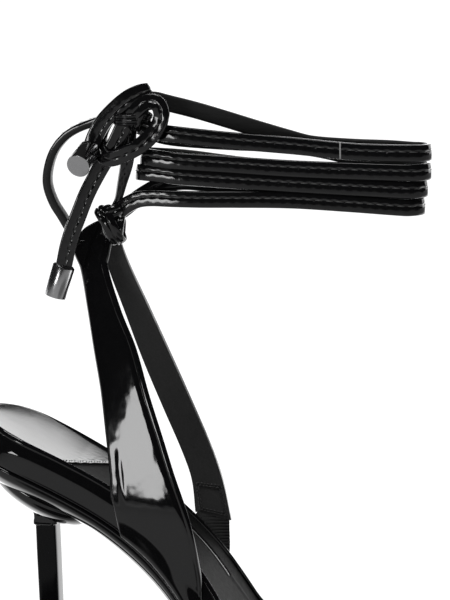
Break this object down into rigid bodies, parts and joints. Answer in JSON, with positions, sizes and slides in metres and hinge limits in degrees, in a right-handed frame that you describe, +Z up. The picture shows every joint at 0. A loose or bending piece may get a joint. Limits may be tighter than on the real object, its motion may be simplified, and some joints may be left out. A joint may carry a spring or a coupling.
{
  "type": "high-heeled wrap sandal",
  "caption": "Black patent high-heeled sandal with an open toe, a slim post heel, a halter quarter strap and stitched ties wound round the ankle and closed in a bow.",
  "frame": {"origin": "on the floor under the middle of the sandal's length and width", "axes": "+X to the toe, +Y to the inner side of the foot, +Z up"},
  "size_m": [0.2103, 0.0799, 0.2543],
  "materials": {
    "patent": "black patent leather, mirror gloss with slight waviness",
    "patent_edge": "black sole leather, painted edge",
    "sock": "smooth satin black sock leather",
    "elastic": "ribbed black elastic",
    "rubber": "matte black rubber",
    "gunmetal": "polished dark gunmetal plating"
  },
  "bodies": {
    "root": {"footbed": "patent", "outsole": "patent_edge", "insole": "sock", "heel": "patent", "heel_tip": "rubber", "quarter_strap": "patent", "toe_strap": "patent", "elastic_gore": "elastic", "ankle_wrap": "patent", "ankle_wrap_top": "patent", "tie_casing": "patent", "tie_knot": "patent", "tie_riser": "patent", "bow_knot": "patent", "bow_ring": "patent", "bow_loop": "patent", "tie_end_short": "patent", "tie_end_long": "patent", "tie_tip_short": "gunmetal", "tie_tip_long": "gunmetal"}
  },
  "joints": []
}
